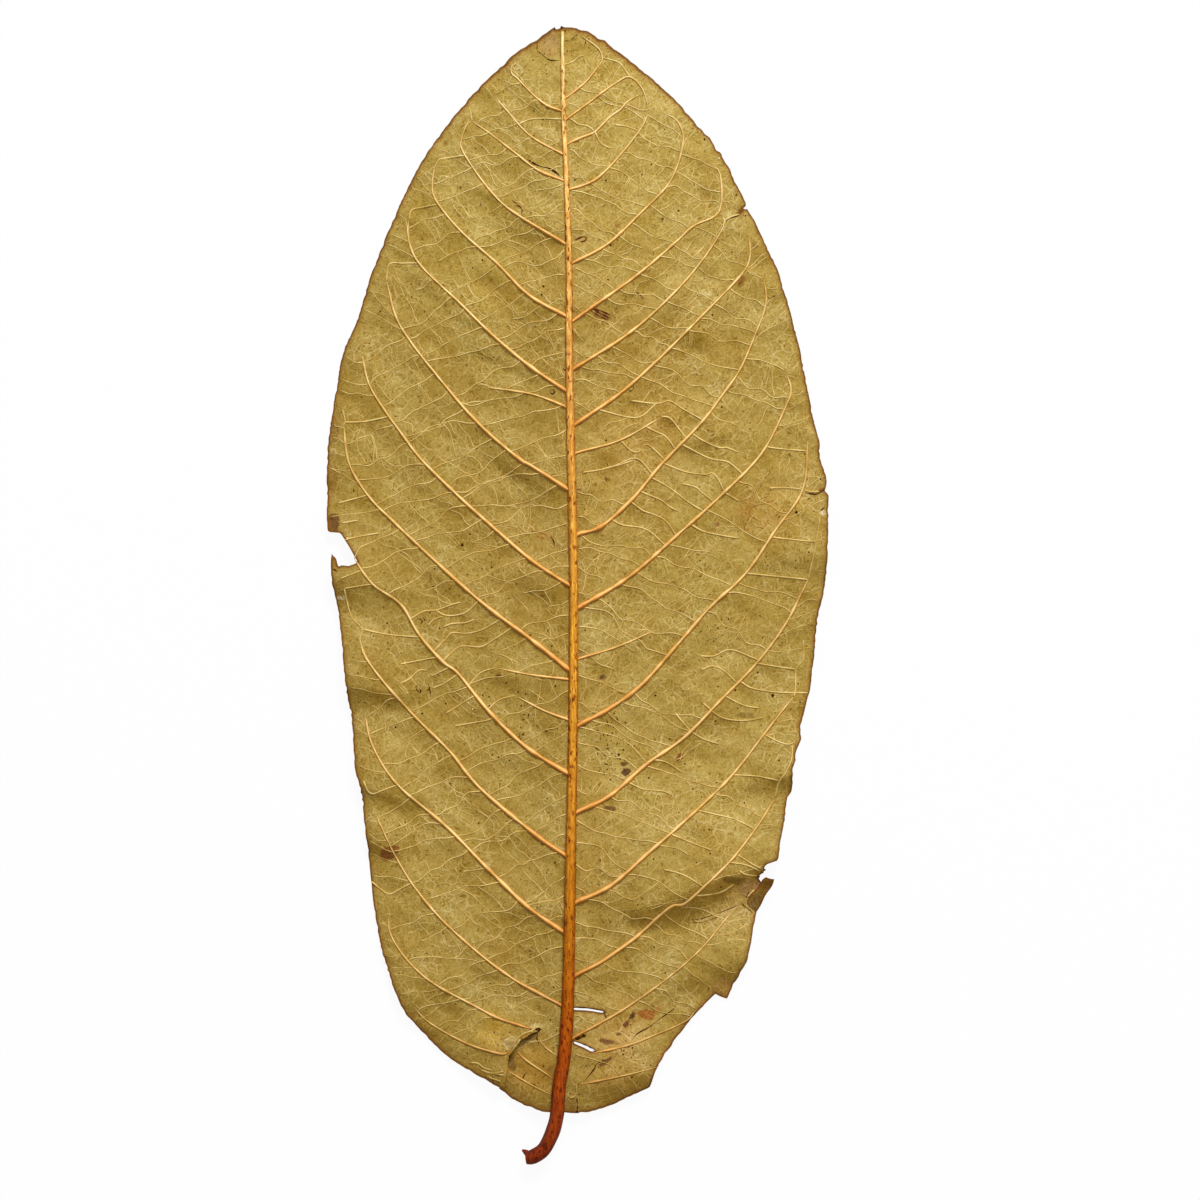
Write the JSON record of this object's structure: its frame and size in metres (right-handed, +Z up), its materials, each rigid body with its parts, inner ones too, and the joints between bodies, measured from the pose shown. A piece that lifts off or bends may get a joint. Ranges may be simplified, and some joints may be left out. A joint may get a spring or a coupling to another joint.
{
  "type": "dried guava leaf",
  "caption": "Dried guava leaf lying with its veined underside up: torn, creased blade with raised looping side veins and a hooked brown stalk.",
  "frame": {"origin": "middle of the leaf's bounding box, on the surface that the leaf rests on", "axes": "+Y points to the leaf's tip along its length, +Z points up out of the veined underside, +X to the right of the midrib as seen from above"},
  "size_m": [0.0558, 0.1266, 0.0033],
  "materials": {
    "leaf": "matte"
  },
  "bodies": {
    "root": {"leaf": "leaf"}
  },
  "joints": []
}
